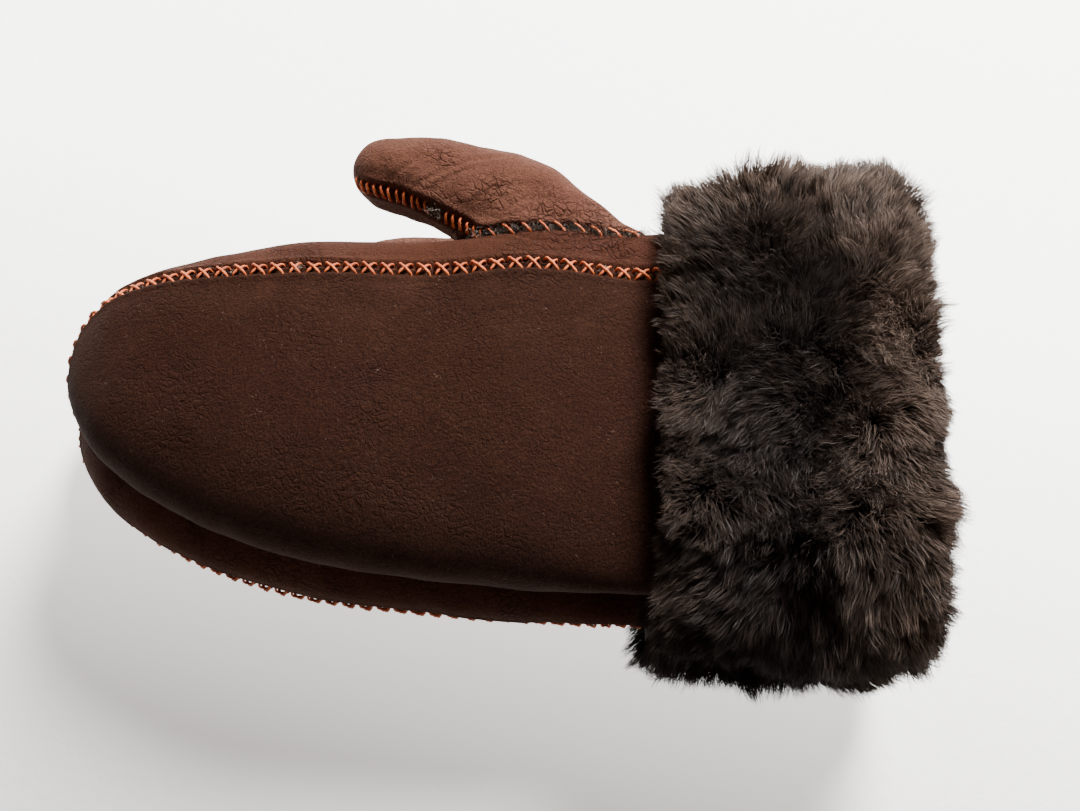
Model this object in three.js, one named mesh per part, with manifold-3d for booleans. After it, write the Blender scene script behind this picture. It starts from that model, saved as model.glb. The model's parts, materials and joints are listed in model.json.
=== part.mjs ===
// A pair of shearling mittens with turned-back wool cuffs, lying palm to palm.
// Millimetres, +Z up. +X runs from the fingertips to the cuff and +Y points to the thumb side.
// Each mitten is built back of the hand up, about its own middle plane z = 0, and the lower one
// is the mirror image of the upper one.
import * as THREE from "three";
import { mergeVertices } from "three/addons/utils/BufferGeometryUtils.js";
import Module from "manifold-3d";

const wasm = await Module();
wasm.setup();

// ---------------------------------------------------------------- driving dimensions
const TIP_X = -154.5; // fingertip end of the hide
const WRIST_X = 30; // where the visible hand ends and the cuff starts
const NARROW_X = 42; // where the hand has become the flat sleeve under the cuff
const FOLD_WOOL = 8; // wool that stands out round the fold

const HALF_WIDTH = 57.5; // hand, at KNUCKLE_X
const KNUCKLE_X = -47;
const WIDTH_TAPER = 0.06; // growth of the half width towards the cuff
const TIP_LENGTH = 105; // length of the rounded end, seen from above
const HAND_HALF_HEIGHT = 20.8;
const TIP_DROP = 62; // length over which the thickness rises from the tip
const WRIST_HALF_HEIGHT = 12.5;
const WRIST_CENTRE_Y = -7;
const TIP_CENTRE_RISE = 13; // the hand leans this far towards the thumb at its tip
const CUFF_LEAN = 0.055; // and the cuff by this much per millimetre
const CUFF_FLARE = 0.09; // extra growth of the half width past NARROW_X
const CUFF_SLANT = 0.05; // the cuff ends run this much askew, further out on the thumb side
const SLANT_FROM = [20, 48]; // where the slant sets in
const PALM_FLAT = 19.85; // the palms are pressed flat against each other
const FLOOR_FLAT = 20; // and the lower mitten's back against what it lies on
const SECTION_POWER = 2.4; // superellipse power of the sections
const LIE_GAP = 0.3; // from one piece to the next

const HIDE = 2; // thickness of the hide
const HAND_WOOL = 8; // lining inside the hand
const WRIST_WOOL = 4.2; // lining inside the cuff, pressed flatter
const THUMB_WOOL = 3.7;
const CUFF_WOOL = 13; // long wool outside the cuff
const CUFF_WOOL_OVERHANG = 4; // how far it hangs over the cut edge
const BAND_GAP = 0.6; // between the hide and its turned-back stretch

const THUMB_HOLE_X = 2; // middle of the thumb's base along the index side
const THUMB_HOLE_REACH = 36;
const THUMB_SIDE_BULGE = 2.5; // the index side is fuller round the thumb hole
const THUMB_SIDE_POWER = 0.8;
const THUMB_BASE_HALF = 13; // half widths inside the hand, at the ball of the thumb, near its tip
const THUMB_BALL_HALF = 19.5;
const THUMB_TIP_HALF = 14;
const THUMB_BASE_HALF_HEIGHT = 4;
const THUMB_HALF_HEIGHT = 13;
const THUMB_TIP_LENGTH = 30;
const THUMB_HINGE_Y = 40; // the thumb swings about the middle of the index side's rounding
const THUMB_CLEARANCE = 1;

const SEAM_FRACTION = 0.69; // place of the main seam on the back, in half widths from the middle
const SEAM_TIP_FADE = 22; // length over which it runs out to the edge at the tip

const PAIR = {
  left: {
    backFlat: Infinity,
    cuff: [42, 116], // cut edge of the turned-back stretch, and the fold
    edgeSeam: -0.6, // height of the seam at the little-finger edge, in half heights
    thumb: [[35.5, 36.5], [-24, 82], [-66, 80]],
    thumbLift: 1,
    swing: [-8, 25], // degrees, palm side and back side
  },
  right: {
    backFlat: FLOOR_FLAT,
    cuff: [50, 123],
    edgeSeam: 0.25, // pressing has rolled this one towards the back
    thumb: [[31.5, 36.5], [-21, 77], [-70, 71]],
    thumbLift: 5,
    swing: [-10, 2],
  },
};
const UPPER_Z = 60; // middle planes of the two mittens
const LOWER_Z = 20;
const LOWER_SHIFT = [-10.5, -1]; // the lower mitten sticks out past the upper one's tip
const LOWER_TURN = THREE.MathUtils.degToRad(0.6);

const AROUND = 20; // facets round a hand section
const THUMB_AROUND = 12;

// ---------------------------------------------------------------- small maths
const clamp01 = (t) => Math.min(1, Math.max(0, t));
const smooth = (from, to, x) => {
  const t = clamp01((x - from) / (to - from));
  return t * t * (3 - 2 * t);
};
const signedPower = (v, p) => Math.sign(v) * Math.abs(v) ** p;
const roundEnd = (s, p) => (1 - (1 - clamp01(s)) ** p) ** (1 / p);
const range = (count) => Array.from({ length: count + 1 }, (_, i) => i / count);

// ---------------------------------------------------------------- solids from rings of points
// Rings follow each other along the body; each runs from its first side direction up to +Z.
// A ring of one point closes the end in a pole.
function loft(rings) {
  const points = rings.flat();
  const starts = [];
  rings.reduce((start, ring) => (starts.push(start), start + ring.length), 0);
  const index = [];
  for (let i = 0; i + 1 < rings.length; i++) {
    const [a, b] = [rings[i], rings[i + 1]];
    const around = Math.max(a.length, b.length);
    for (let k = 0; k < around; k++) {
      const next = (k + 1) % around;
      const [a0, a1] = a.length > 1 ? [starts[i] + k, starts[i] + next] : [starts[i], starts[i]];
      const j = starts[i + 1];
      const [b0, b1] = b.length > 1 ? [j + k, j + next] : [j, j];
      if (a.length > 1) index.push(a0, a1, b1);
      if (b.length > 1) index.push(a0, b1, b0);
    }
  }
  cap(points, index, rings[0], starts[0], false);
  cap(points, index, rings.at(-1), starts.at(-1), true);
  return toManifold(points, index);
}

function cap(points, index, ring, start, atEnd) {
  if (ring.length === 1) return;
  const middle = [0, 1, 2].map((i) => ring.reduce((sum, p) => sum + p[i], 0) / ring.length);
  const centre = points.push(middle) - 1;
  ring.forEach((_, k) => {
    const next = start + ((k + 1) % ring.length);
    index.push(centre, ...(atEnd ? [start + k, next] : [next, start + k]));
  });
}

function toManifold(points, index) {
  const geometry = new THREE.BufferGeometry();
  geometry.setAttribute("position", new THREE.Float32BufferAttribute(points.flat(), 3));
  geometry.setIndex(index);
  const merged = mergeVertices(geometry, 1e-4);
  return new wasm.Manifold(
    new wasm.Mesh({
      numProp: 3,
      vertProperties: merged.attributes.position.array,
      triVerts: new Uint32Array(merged.index.array),
    }),
  );
}

// The mouth of a mitten is cut askew, so everything round the wrist is sheared along X.
function slant(positions) {
  for (let i = 0; i < positions.length; i += 3) {
    positions[i] += CUFF_SLANT * positions[i + 1] * smooth(...SLANT_FROM, positions[i]);
  }
  return positions;
}

function toGeometry(solid) {
  const mesh = solid.getMesh();
  const geometry = new THREE.BufferGeometry();
  geometry.setAttribute("position", new THREE.BufferAttribute(slant(mesh.vertProperties), 3));
  geometry.setIndex(new THREE.BufferAttribute(mesh.triVerts, 1));
  const flat = geometry.toNonIndexed();
  flat.computeVertexNormals();
  return flat;
}

// Cutting can leave crumbs: the piece is the largest body.
function largest(solid) {
  return solid.decompose().reduce((a, b) => (a.volume() > b.volume() ? a : b));
}

// ---------------------------------------------------------------- the hand's surface
// inset is the distance inwards from the outside of the hide, so a negative one lies outside it.
function handSection(x, inset) {
  const run = x - TIP_X - inset;
  const nearThumb = Math.max(0, 1 - ((x - THUMB_HOLE_X) / THUMB_HOLE_REACH) ** 2) ** 2;
  const height = THREE.MathUtils.lerp(
    HAND_HALF_HEIGHT,
    WRIST_HALF_HEIGHT,
    smooth(-15, NARROW_X, x),
  );
  const flare = CUFF_FLARE * Math.max(0, x - NARROW_X);
  const width = HALF_WIDTH + WIDTH_TAPER * (x - KNUCKLE_X) + flare;
  const widthRise = roundEnd(run / (TIP_LENGTH - inset), 2.2);
  const lean =
    x < WRIST_X
      ? TIP_CENTRE_RISE * ((WRIST_X - x) / (WRIST_X - TIP_X)) ** 2
      : CUFF_LEAN * (x - WRIST_X);
  return {
    centre: WRIST_CENTRE_Y + lean,
    halfWidth: (width - inset) * widthRise,
    halfHeight: (height - inset) * roundEnd(run / (TIP_DROP - inset), 2),
    bulge: THUMB_SIDE_BULGE * nearThumb,
    indexPower: SECTION_POWER + THUMB_SIDE_POWER * nearThumb,
  };
}

function handPoint(x, angle, inset, backFlat) {
  const s = handSection(x, inset);
  const [c, q] = [Math.cos(angle), Math.sin(angle)];
  const power = 2 / (c > 0 ? s.indexPower : SECTION_POWER);
  const half = s.halfWidth + (c > 0 ? s.bulge : 0);
  const z = s.halfHeight * signedPower(q, power);
  return [
    x,
    s.centre + half * signedPower(c, power),
    Math.min(backFlat - inset, Math.max(inset - PALM_FLAT, z)),
  ];
}

function handRing(x, inset, backFlat) {
  return range(AROUND)
    .slice(0, -1)
    .map((f) => handPoint(x, f * 2 * Math.PI, inset, backFlat));
}

// Stations from the tip, close together where the end is round.
const TIP_STEPS = range(6).map((f) => 1 - Math.cos((f * Math.PI) / 2));
const BODY_STATIONS = [-22, 2, 24, NARROW_X, 80];

function handSolid(inset, endX, backFlat = Infinity) {
  const insetAt = typeof inset === "function" ? inset : () => inset;
  const tip = TIP_X + insetAt(TIP_X);
  const stations = TIP_STEPS.map((f) => tip + f * (KNUCKLE_X - tip)).concat(BODY_STATIONS, endX);
  const rings = stations.map((x) => handRing(x, insetAt(x), backFlat));
  rings[0] = [[tip, handSection(tip, 0).centre, 0]];
  return loft(rings);
}

function sleeveSolid(insetAt, stations) {
  return loft(stations.map((x) => handRing(x, insetAt(x), Infinity)));
}

// ---------------------------------------------------------------- the main seam
// It runs along the back near the index side, round the tip and back along the other edge.
function seamAngles(mitten, x) {
  const fade = Math.exp((TIP_X - x) / SEAM_TIP_FADE);
  const fraction = SEAM_FRACTION + (1 - SEAM_FRACTION) * fade;
  return {
    index: Math.acos(fraction ** (handSection(x, 0).indexPower / 2)),
    edge: Math.PI - Math.asin(signedPower(mitten.edgeSeam, SECTION_POWER / 2)),
  };
}

// The space above a ruled surface through both seam lines, moved up by shift.
function aboveSeam(mitten, shift) {
  const [reach, top] = [150, 100];
  const stations = [-185, TIP_X + 0.5, -150, -135, -110, -80, KNUCKLE_X, ...BODY_STATIONS, 150];
  const rings = stations.map((station) => {
    const x = Math.max(station, TIP_X + 0.5);
    const { index, edge } = seamAngles(mitten, x);
    const [, yIndex, zIndex] = handPoint(x, index, 0, Infinity);
    const [, yEdge, zEdge] = handPoint(x, edge, 0, Infinity);
    const slope = (zIndex - zEdge) / (yIndex - yEdge);
    return [
      [station, reach, zIndex + slope * (reach - yIndex) + shift],
      [station, reach, top],
      [station, -reach, top],
      [station, -reach, zEdge - slope * (reach + yEdge) + shift],
    ];
  });
  return loft(rings);
}

// ---------------------------------------------------------------- the thumb
function thumbAxis(mitten, t) {
  const curve = new THREE.QuadraticBezierCurve3(
    ...mitten.thumb.map(([x, y]) => new THREE.Vector3(x, y, mitten.thumbLift)),
  );
  return { point: curve.getPoint(t), along: curve.getTangent(t), length: curve.getLength() };
}

// angle 0 faces the fingers, a quarter turn is up.
function thumbPoint(mitten, t, angle, inset) {
  const { point, along, length } = thumbAxis(mitten, t);
  const toTip = length * (1 - t) - inset;
  const rise = roundEnd(toTip / (THUMB_TIP_LENGTH - inset), 2.2);
  const grown = smooth(0, 0.4, t);
  const ball = THREE.MathUtils.lerp(THUMB_BASE_HALF, THUMB_BALL_HALF, grown);
  const half = THREE.MathUtils.lerp(ball, THUMB_TIP_HALF, smooth(0.4, 0.85, t));
  const thick = smooth(0, 0.5, t);
  const height = THREE.MathUtils.lerp(THUMB_BASE_HALF_HEIGHT, THUMB_HALF_HEIGHT, thick);
  const side = new THREE.Vector3(0, 0, 1).cross(along);
  const across = (half - inset) * rise * signedPower(Math.cos(angle), 0.9);
  const up = (height - inset) * rise * signedPower(Math.sin(angle), 0.9);
  return point.clone().addScaledVector(side, across).setZ(point.z + up);
}

function thumbRing(mitten, t, inset) {
  return range(THUMB_AROUND)
    .slice(0, -1)
    .map((f) => thumbPoint(mitten, t, f * 2 * Math.PI, inset).toArray());
}

function thumbSolid(mitten, inset) {
  const { length } = thumbAxis(mitten, 0);
  const last = 1 - inset / length;
  const steps = range(8).map((f) => last * Math.sin((f * Math.PI) / 2));
  const rings = steps.map((t) => thumbRing(mitten, t, inset));
  rings[rings.length - 1] = [thumbAxis(mitten, last).point.toArray()];
  return loft(rings);
}

// Everything the hand passes through, seen from the thumb, as the thumb swings.
function handFromSwingingThumb(mitten) {
  const hand = handSolid(-THUMB_CLEARANCE, mitten.cuff[1]);
  const [low, high] = mitten.swing;
  return [low, 0, high / 2, high].reduce((swept, angle) => {
    const turned = hand
      .translate([0, -THUMB_HINGE_Y, 0])
      .rotate([-angle, 0, 0])
      .translate([0, THUMB_HINGE_Y, 0]);
    return swept ? swept.add(turned) : turned;
  }, null);
}

// ---------------------------------------------------------------- the hide and the wool
function hidePieces(mitten) {
  const { backFlat, cuff } = mitten;
  const [cutEdge, fold] = cuff;
  const hand = handSolid(0, fold, backFlat);
  const band = sleeveSolid(() => -BAND_GAP - HIDE, [cutEdge, 80, fold]);
  const gap = sleeveSolid(() => -BAND_GAP, [cutEdge - 1, 80, fold - HIDE]);
  const hollow = handSolid(HIDE, fold + 1, backFlat);
  return hand.add(band.subtract(gap.subtract(hand))).subtract(hollow);
}

function hollowInset(x) {
  const wool = THREE.MathUtils.lerp(HAND_WOOL, WRIST_WOOL, smooth(-15, NARROW_X, x));
  return HIDE + LIE_GAP + wool;
}

function liningPieces(mitten) {
  const fold = mitten.cuff[1];
  const outside = handSolid(HIDE + LIE_GAP, fold, mitten.backFlat);
  return outside.subtract(handSolid(hollowInset, fold + 1, mitten.backFlat));
}

function cuffWool(mitten) {
  const [cutEdge, fold] = mitten.cuff;
  const [start, end] = [cutEdge - CUFF_WOOL_OVERHANG, fold + FOLD_WOOL];
  const onBand = BAND_GAP + HIDE + LIE_GAP;
  const depth = (x) =>
    CUFF_WOOL * roundEnd((x - start + 4) / 24, 2) * roundEnd((end + 1 - x) / 18, 2);
  // Only the outside is pressed flat, so the flats stay where they are whatever the depth.
  const press = (z) => Math.min(mitten.backFlat, Math.max(-PALM_FLAT, z));
  const stations = [start, start + 6, start + 15, start + 30, 100, end - 12, end - 4, end];
  const rings = stations.map((x) =>
    handRing(x, -onBand - depth(x), Infinity).map(([, y, z]) => [x, y, press(z)]),
  );
  const band = sleeveSolid(() => -onBand, [cutEdge - LIE_GAP, 80, fold + LIE_GAP]);
  const hand = sleeveSolid(() => -BAND_GAP, [start - 1, cutEdge + 1]);
  const tunnel = sleeveSolid(hollowInset, [100, fold, end + 1]);
  return loft(rings).subtract(band).subtract(hand).subtract(tunnel);
}

// ---------------------------------------------------------------- threads, as plain beads
// A path entry has a point on the surface, the direction out of it and the direction along it.
function bead(path, halfWidth, low, high) {
  const rings = path.map(({ point, out, along }) => {
    const across = new THREE.Vector3().crossVectors(along, out).normalize();
    const corner = (side, height) =>
      point.clone().addScaledVector(across, side).addScaledVector(out, height).toArray();
    return [
      corner(halfWidth, low),
      corner(halfWidth, high),
      corner(-halfWidth, high),
      corner(-halfWidth, low),
    ];
  });
  const solid = loft(rings);
  return solid.volume() > 0 ? solid : loft(rings.map((ring) => ring.reverse()));
}

// The direction out of a surface, from its points close by.
function outward(surface, place, angle, step) {
  const around = surface(place, angle + 0.01).sub(surface(place, angle - 0.01));
  const along = surface(place + step, angle).sub(surface(place - step, angle));
  return around.cross(along).normalize();
}

function withDirections(points, outs) {
  return points.map((point, i) => {
    const before = points[Math.max(0, i - 1)];
    const after = points[Math.min(points.length - 1, i + 1)];
    return { point, out: outs[i], along: after.clone().sub(before).normalize() };
  });
}

function mainSeamThread(mitten) {
  const surface = (x, angle) => new THREE.Vector3(...handPoint(x, angle, 0, Infinity));
  const start = mitten.cuff[0] - CUFF_WOOL_OVERHANG - 1;
  const stations = range(18).map((f) => TIP_X + (start - TIP_X) * (1 - f) ** 2);
  const line = (side) => stations.map((x) => [x, seamAngles(mitten, x)[side]]);
  const route = line("index").concat(line("edge").slice(0, -1).reverse());
  const points = route.map(([x, angle]) => surface(x, angle));
  const outs = route.map(([x, angle]) =>
    x === TIP_X ? new THREE.Vector3(-1, 0, 0) : outward(surface, x, angle, (x - TIP_X) / 50),
  );
  return bead(withDirections(points, outs), 1.8, 0.55, 1.25);
}

function thumbSideThread(mitten) {
  const surface = (t, angle) => thumbPoint(mitten, t, angle, 0);
  const angle = 0.5;
  const steps = range(10).map((f) => THREE.MathUtils.lerp(0.55, 0.97, f));
  const points = steps.map((t) => surface(t, angle));
  const outs = steps.map((t) => outward(surface, t, angle, 0.01));
  return bead(withDirections(points, outs), 1.5, 0.5, 1.5);
}

// Where the thumb's surface comes out of the hand, plus a clearance, at one angle round it.
function thumbBaseT(mitten, angle, clearance) {
  let [inside, outside] = [0, 0.95];
  for (let i = 0; i < 30; i++) {
    const t = (inside + outside) / 2;
    const { x, y, z } = thumbPoint(mitten, t, angle, 0);
    const s = handSection(x, -clearance);
    const across = Math.abs(y - s.centre) / (s.halfWidth + s.bulge);
    const high = Math.abs(z) / s.halfHeight;
    if (across ** s.indexPower + high ** s.indexPower < 1) inside = t;
    else outside = t;
  }
  return outside;
}

function thumbBaseThread(mitten) {
  const surface = (t, angle) => thumbPoint(mitten, t, angle, 0);
  const angles = range(28).map((f) => 0.62 + f * (2 * Math.PI - 0.72));
  const route = angles.map((angle) => [thumbBaseT(mitten, angle, 3.2), angle]);
  const points = route.map(([t, angle]) => surface(t, angle));
  const outs = route.map(([t, angle]) => outward(surface, t, angle, 0.01));
  return bead(withDirections(points, outs), 0.8, 0.6, 1.6);
}

// ---------------------------------------------------------------- materials
const finish = (color, roughness) =>
  new THREE.MeshStandardMaterial({ color, roughness, metalness: 0 });
const FINISHES = {
  suede: () => finish(0x4a2f25, 0.95),
  wool: () => finish(0x3a312b, 1),
  cuff: () => finish(0x332d29, 1),
  thread: () => finish(0xb5603a, 0.7),
};

function named(name, solid, finishName) {
  const mesh = new THREE.Mesh(toGeometry(largest(solid)), FINISHES[finishName]());
  mesh.name = name;
  return mesh;
}

// ---------------------------------------------------------------- one mitten
function makeMitten(side) {
  const mitten = PAIR[side];
  const onBack = (solid) => solid.intersect(aboveSeam(mitten, LIE_GAP / 2));
  const onPalm = (solid) => solid.subtract(aboveSeam(mitten, -LIE_GAP / 2));
  const hide = hidePieces(mitten);
  const lining = liningPieces(mitten);
  const wool = cuffWool(mitten);
  const clearOfHand = handFromSwingingThumb(mitten);
  const insideHide = thumbSolid(mitten, HIDE + LIE_GAP);
  const hollow = thumbSolid(mitten, HIDE + LIE_GAP + THUMB_WOOL);
  const thumbHide = thumbSolid(mitten, 0).subtract(thumbSolid(mitten, HIDE));
  const group = new THREE.Group();
  group.add(
    named(`${side}_back_panel`, onBack(hide), "suede"),
    named(`${side}_palm_panel`, onPalm(hide).subtract(insideHide), "suede"),
    named(`${side}_thumb_panel`, thumbHide.subtract(clearOfHand), "suede"),
    named(`${side}_back_lining_wool`, onBack(lining), "wool"),
    named(`${side}_palm_lining_wool`, onPalm(lining).subtract(hollow), "wool"),
    named(`${side}_thumb_lining_wool`, insideHide.subtract(hollow).subtract(clearOfHand), "wool"),
    named(`${side}_cuff_back_wool`, onBack(wool), "cuff"),
    named(`${side}_cuff_palm_wool`, onPalm(wool), "cuff"),
    named(`${side}_main_seam_thread`, mainSeamThread(mitten), "thread"),
    named(`${side}_thumb_side_thread`, thumbSideThread(mitten), "thread"),
    named(`${side}_thumb_base_thread`, thumbBaseThread(mitten), "thread"),
  );
  return group;
}

// ---------------------------------------------------------------- the pair
const upper = makeMitten("left");
upper.position.z = UPPER_Z;

const lower = makeMitten("right");
lower.scale.z = -1;
lower.position.set(...LOWER_SHIFT, LOWER_Z);
lower.rotation.z = LOWER_TURN;

// The origin is the middle of the footprint, on the surface that the pair lies on.
const pair = new THREE.Group();
pair.add(upper, lower);
const box = new THREE.Box3().setFromObject(pair);
const middle = box.getCenter(new THREE.Vector3());
pair.position.set(-middle.x, -middle.y, -box.min.z);
const root = new THREE.Group();
root.add(pair);

export default root;
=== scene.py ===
import json
import math

import bpy
import numpy as np
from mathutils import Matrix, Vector, kdtree, noise


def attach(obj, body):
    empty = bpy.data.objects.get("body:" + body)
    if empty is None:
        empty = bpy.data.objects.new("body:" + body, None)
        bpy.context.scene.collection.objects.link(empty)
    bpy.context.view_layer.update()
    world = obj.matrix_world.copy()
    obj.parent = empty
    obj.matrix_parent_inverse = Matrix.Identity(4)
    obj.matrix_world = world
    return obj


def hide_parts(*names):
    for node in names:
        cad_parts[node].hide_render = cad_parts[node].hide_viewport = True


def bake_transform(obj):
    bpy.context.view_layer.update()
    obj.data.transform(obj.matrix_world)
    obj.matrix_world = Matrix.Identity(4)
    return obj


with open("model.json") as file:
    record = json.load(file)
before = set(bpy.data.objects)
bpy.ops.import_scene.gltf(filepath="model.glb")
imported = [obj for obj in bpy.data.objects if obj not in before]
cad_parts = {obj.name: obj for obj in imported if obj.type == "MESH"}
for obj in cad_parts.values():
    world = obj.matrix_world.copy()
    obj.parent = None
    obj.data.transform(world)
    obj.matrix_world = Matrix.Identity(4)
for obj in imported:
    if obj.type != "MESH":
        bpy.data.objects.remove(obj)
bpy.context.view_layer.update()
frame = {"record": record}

# ------------------------------------------------------------------ back and palm panels
# Two pieces of sheepskin make each hand: the back wraps over the little-finger edge, the palm wraps
# up round the index side. Both run past the wrist, fold outwards at the mouth and lie back over
# themselves as the cuff. Their cut edges butt in a groove that the stitches pull in.
# Everything is drawn in millimetres on one mitten's own middle plane, back of the hand up.
MM = 0.001
ABOVE_TABLE = 0.0002
HINGE_ON_HAND = np.array([2.0, 40.0, 0.0])
TURN = {"left": 0.0, "right": math.radians(0.6)}
FLIP = {"left": 1.0, "right": -1.0}
CUFF_SLANT, SLANT_FROM = 0.05, (20.0, 48.0)
TIP_X, WRIST_X, NARROW_X, KNUCKLE_X = -154.5, 30.0, 42.0, -47.0
HALF_WIDTH, WIDTH_TAPER, TIP_LENGTH, CUFF_FLARE = 57.5, 0.06, 105.0, 0.09
HALF_HEIGHT, WRIST_HALF_HEIGHT, TIP_DROP = 20.8, 12.5, 62.0
WRIST_CENTRE, TIP_CENTRE_RISE, CUFF_LEAN = -7.0, 13.0, 0.055
PALM_FLAT, BACK_FLAT = 19.85, {"left": 1000.0, "right": 20.0}
CUT_EDGE, FOLD = {"left": 42.0, "right": 50.0}, {"left": 116.0, "right": 123.0}
EDGE_SEAM = {"left": -0.6, "right": 0.25}
HIDE = 1.3
BAND_GAP = 1.0
FOLD_RADIUS = (2 * HIDE + BAND_GAP) / 2

joints = frame["record"]["behaviour"]["joints"]
pivots = {j["name"]: Vector(j["pos_m"]) for j in joints if "pos_m" in j}


def smooth_step(low, high, x):
    t = np.clip((x - low) / (high - low), 0.0, 1.0)
    return t * t * (3 - 2 * t)


def round_end(s, p):
    return (1 - (1 - np.clip(s, 0.0, 1.0)) ** p) ** (1 / p)


def signed_power(v, p):
    return np.sign(v) * np.abs(v) ** p


def unit(vectors):
    return vectors / np.maximum(np.linalg.norm(vectors, axis=-1, keepdims=True), 1e-9)


def lay(side, points):
    """Points on a mitten, laid in their place in the pair, in metres: the lower one is mirrored."""
    points = np.array(points, float)
    points[..., 0] += CUFF_SLANT * points[..., 1] * smooth_step(*SLANT_FROM, points[..., 0])
    rel = (points - HINGE_ON_HAND) * [1.0, 1.0, FLIP[side]]
    c, s = math.cos(TURN[side]), math.sin(TURN[side])
    turned = np.stack([c * rel[..., 0] - s * rel[..., 1], s * rel[..., 0] + c * rel[..., 1],
                       rel[..., 2]], -1)
    placed = turned * MM + np.array(pivots[f"{side}_thumb_swing"])
    placed[..., 2] = np.maximum(placed[..., 2], ABOVE_TABLE)
    return placed


def piece(name, side, points, faces, material):
    """A mesh of one piece; a mirrored mitten's faces are turned so that they still face out."""
    faces = np.asarray(faces)
    if FLIP[side] < 0:
        faces = faces[:, ::-1]
    corners = [list(dict.fromkeys(face)) for face in faces.tolist()]
    mesh = bpy.data.meshes.new(name)
    mesh.from_pydata(lay(side, points).tolist(), [], [c for c in corners if len(c) > 2])
    mesh.polygons.foreach_set("use_smooth", [True] * len(mesh.polygons))
    mesh.materials.append(material)
    obj = bpy.data.objects.new(name, mesh)
    bpy.context.scene.collection.objects.link(obj)
    return obj


def hand_section(x, inset):
    """The hand's cross-section at x: a superellipse, fuller round the thumb hole."""
    run = x - TIP_X - inset
    near_thumb = np.maximum(0.0, 1 - ((x - 2.0) / 36.0) ** 2) ** 2
    height = HALF_HEIGHT + (WRIST_HALF_HEIGHT - HALF_HEIGHT) * smooth_step(-15.0, NARROW_X, x)
    lean = np.where(x < WRIST_X, TIP_CENTRE_RISE * ((WRIST_X - x) / (WRIST_X - TIP_X)) ** 2,
                    CUFF_LEAN * (x - WRIST_X))
    width = HALF_WIDTH + WIDTH_TAPER * (x - KNUCKLE_X) + CUFF_FLARE * np.maximum(0.0, x - NARROW_X)
    half = (width - inset) * round_end(run / (TIP_LENGTH - inset), 2.2)
    high = (height - inset) * round_end(run / (TIP_DROP - inset), 2.0)
    return WRIST_CENTRE + lean, half, high, 2.5 * near_thumb, 2.4 + 0.8 * near_thumb


def hand_point(side, x, angle, inset=0.0):
    """A point of the hand's surface; angle 0 is the thumb side, a quarter turn is the back."""
    x, angle, inset = np.broadcast_arrays(*[np.asarray(v, float) for v in (x, angle, inset)])
    centre, half, high, bulge, power = hand_section(x, inset)
    c, q = np.cos(angle), np.sin(angle)
    power = 2 / np.where(c > 0, power, 2.4)
    y = centre + (half + np.where(c > 0, bulge, 0.0)) * signed_power(c, power)
    z = high * signed_power(q, power)
    return np.stack([x, y, np.clip(z, inset - PALM_FLAT, BACK_FLAT[side] - inset)], -1)


def seam_angles(side, x):
    """The main seam's two angles: on the back near the index side, and at the other edge."""
    fraction = 0.69 + 0.31 * np.exp((TIP_X - x) / 22.0)
    index = np.arccos(np.clip(fraction, 0, 1) ** (hand_section(x, 0.0)[4] / 2))
    return index, np.full_like(x, math.pi - math.asin(signed_power(EDGE_SEAM[side], 1.2)))


def even_steps(points, outward, pitch):
    """Even steps along a line: places, outward directions and directions along it."""
    length = np.concatenate([[0], np.cumsum(np.linalg.norm(np.diff(points, axis=0), axis=1))])
    places = np.arange(pitch / 2, length[-1], pitch)
    def at(values):
        return np.stack([np.interp(places, length, values[:, i]) for i in range(3)], -1)
    place, out = at(points), unit(at(outward))
    along = unit(np.gradient(place, axis=0))
    return place, unit(out - along * (out * along).sum(1, keepdims=True)), along


def main_seam(side):
    """The seam from under the cuff along the index side, round the tip and back again."""
    x = TIP_X + (CUT_EDGE[side] + 6 - TIP_X) * (1 - np.linspace(0, 1, 700)) ** 2
    index, little = seam_angles(side, x)
    x, angle = np.concatenate([x, x[-2::-1]]), np.concatenate([index, little[-2::-1]])
    points = hand_point(side, x, angle)
    step = np.clip((x - TIP_X) / 4, 0.02, 0.3)
    around = hand_point(side, x + step, angle + 0.01) - hand_point(side, x + step, angle - 0.01)
    along = hand_point(side, x + 2 * step, angle) - hand_point(side, x, angle)
    outward = unit(np.cross(along, around))
    outward *= np.where((outward * (points - [0, -5, 0])).sum(1) < 0, -1, 1)[:, None]
    outward[x - TIP_X < 0.6] = (-1.0, 0.0, 0.0)
    return points, outward


def tree_of(points):
    tree = kdtree.KDTree(len(points))
    for i, p in enumerate(points):
        tree.insert(p, i)
    tree.balance()
    return tree


def distance_to(tree, points):
    return np.array([tree.find(p)[2] for p in points.reshape(-1, 3)]).reshape(points.shape[:-1])


def grid_normals(grid):
    return unit(np.cross(np.gradient(grid, axis=1), np.gradient(grid, axis=0)))


def grid_faces(rows, columns, start=0):
    i = np.arange(rows - 1)[:, None] * columns + np.arange(columns - 1)[None, :] + start
    return np.stack([i, i + 1, i + columns + 1, i + columns], -1).reshape(-1, 4)


def shell(outside, inside):
    """A sheet's two faces and the cut edges between them, as points and faces."""
    rows, columns = outside.shape[:2]
    count = rows * columns
    edge = np.concatenate([np.arange(columns), np.arange(1, rows) * columns + columns - 1,
                           (rows - 1) * columns + np.arange(columns - 2, -1, -1),
                           np.arange(rows - 2, 0, -1) * columns])
    following = np.roll(edge, -1)
    rim = np.stack([following, edge, edge + count, following + count], -1)
    faces = [grid_faces(rows, columns), grid_faces(rows, columns, count)[:, ::-1], rim]
    return np.concatenate([outside.reshape(-1, 3), inside.reshape(-1, 3)]), np.concatenate(faces)


def lumps(points, scale, depth, offset):
    """Soft unevenness of a hand-sewn skin."""
    flat = points.reshape(-1, 3) / scale + offset
    return depth * np.array([noise.noise(Vector(p)) for p in flat]).reshape(points.shape[:-1])


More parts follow.
